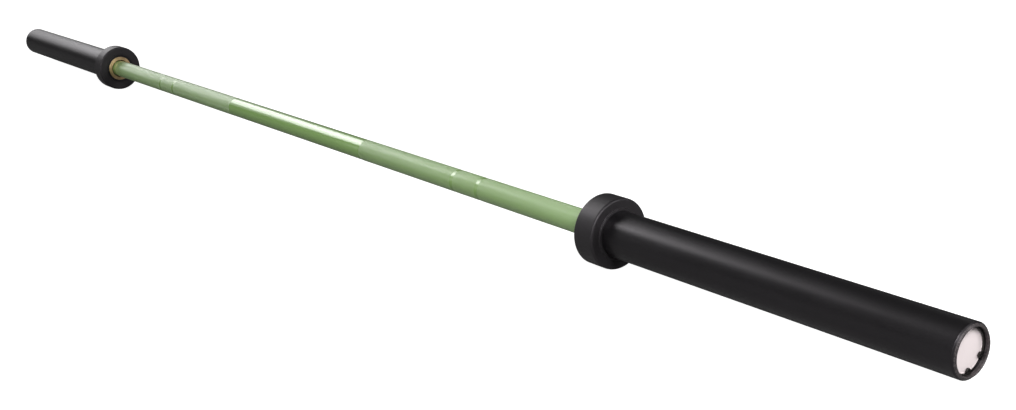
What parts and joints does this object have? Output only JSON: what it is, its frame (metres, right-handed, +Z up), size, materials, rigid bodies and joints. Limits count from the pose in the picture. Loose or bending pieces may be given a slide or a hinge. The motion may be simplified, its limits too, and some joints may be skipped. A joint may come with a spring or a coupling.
{
  "type": "olympic barbell",
  "caption": "Olympic barbell: green knurled steel shaft with black collared sleeves that turn on bronze bushings, each mouth closed by a pale disc.",
  "frame": {"origin": "middle of the bar, on its axis", "axes": "+X along the bar towards the sleeve that is nearer in the picture, +Z up, the bar lying level"},
  "size_m": [2.2, 0.0768, 0.0768],
  "materials": {
    "shaft_coating": "satin",
    "sleeve_coating": "satin",
    "collar_coating": "satin",
    "bronze": "satin",
    "washer_steel": "satin",
    "ring_steel": "satin",
    "cap_plastic": "matte",
    "disc_face": "satin"
  },
  "bodies": {
    "shaft": {"shaft": "shaft_coating", "left_inner_washer": "washer_steel", "left_outer_washer": "washer_steel", "left_shaft_ring": "ring_steel", "right_inner_washer": "washer_steel", "right_outer_washer": "washer_steel", "right_shaft_ring": "ring_steel"},
    "left_sleeve": {"left_sleeve": "sleeve_coating", "left_collar": "collar_coating", "left_inner_bushing": "bronze", "left_outer_bushing": "bronze", "left_end_cap": "cap_plastic", "left_end_disc": "disc_face", "left_end_ring": "ring_steel"},
    "right_sleeve": {"right_sleeve": "sleeve_coating", "right_collar": "collar_coating", "right_inner_bushing": "bronze", "right_outer_bushing": "bronze", "right_end_cap": "cap_plastic", "right_end_disc": "disc_face", "right_end_ring": "ring_steel"}
  },
  "joints": [
    {"name": "left_sleeve_spin", "type": "hinge", "parent": "shaft", "child": "left_sleeve", "pos_m": [-0.655, 0, 0], "axis": [1, 0, 0], "continuous": true},
    {"name": "right_sleeve_spin", "type": "hinge", "parent": "shaft", "child": "right_sleeve", "pos_m": [0.655, 0, 0], "axis": [1, 0, 0], "continuous": true}
  ]
}
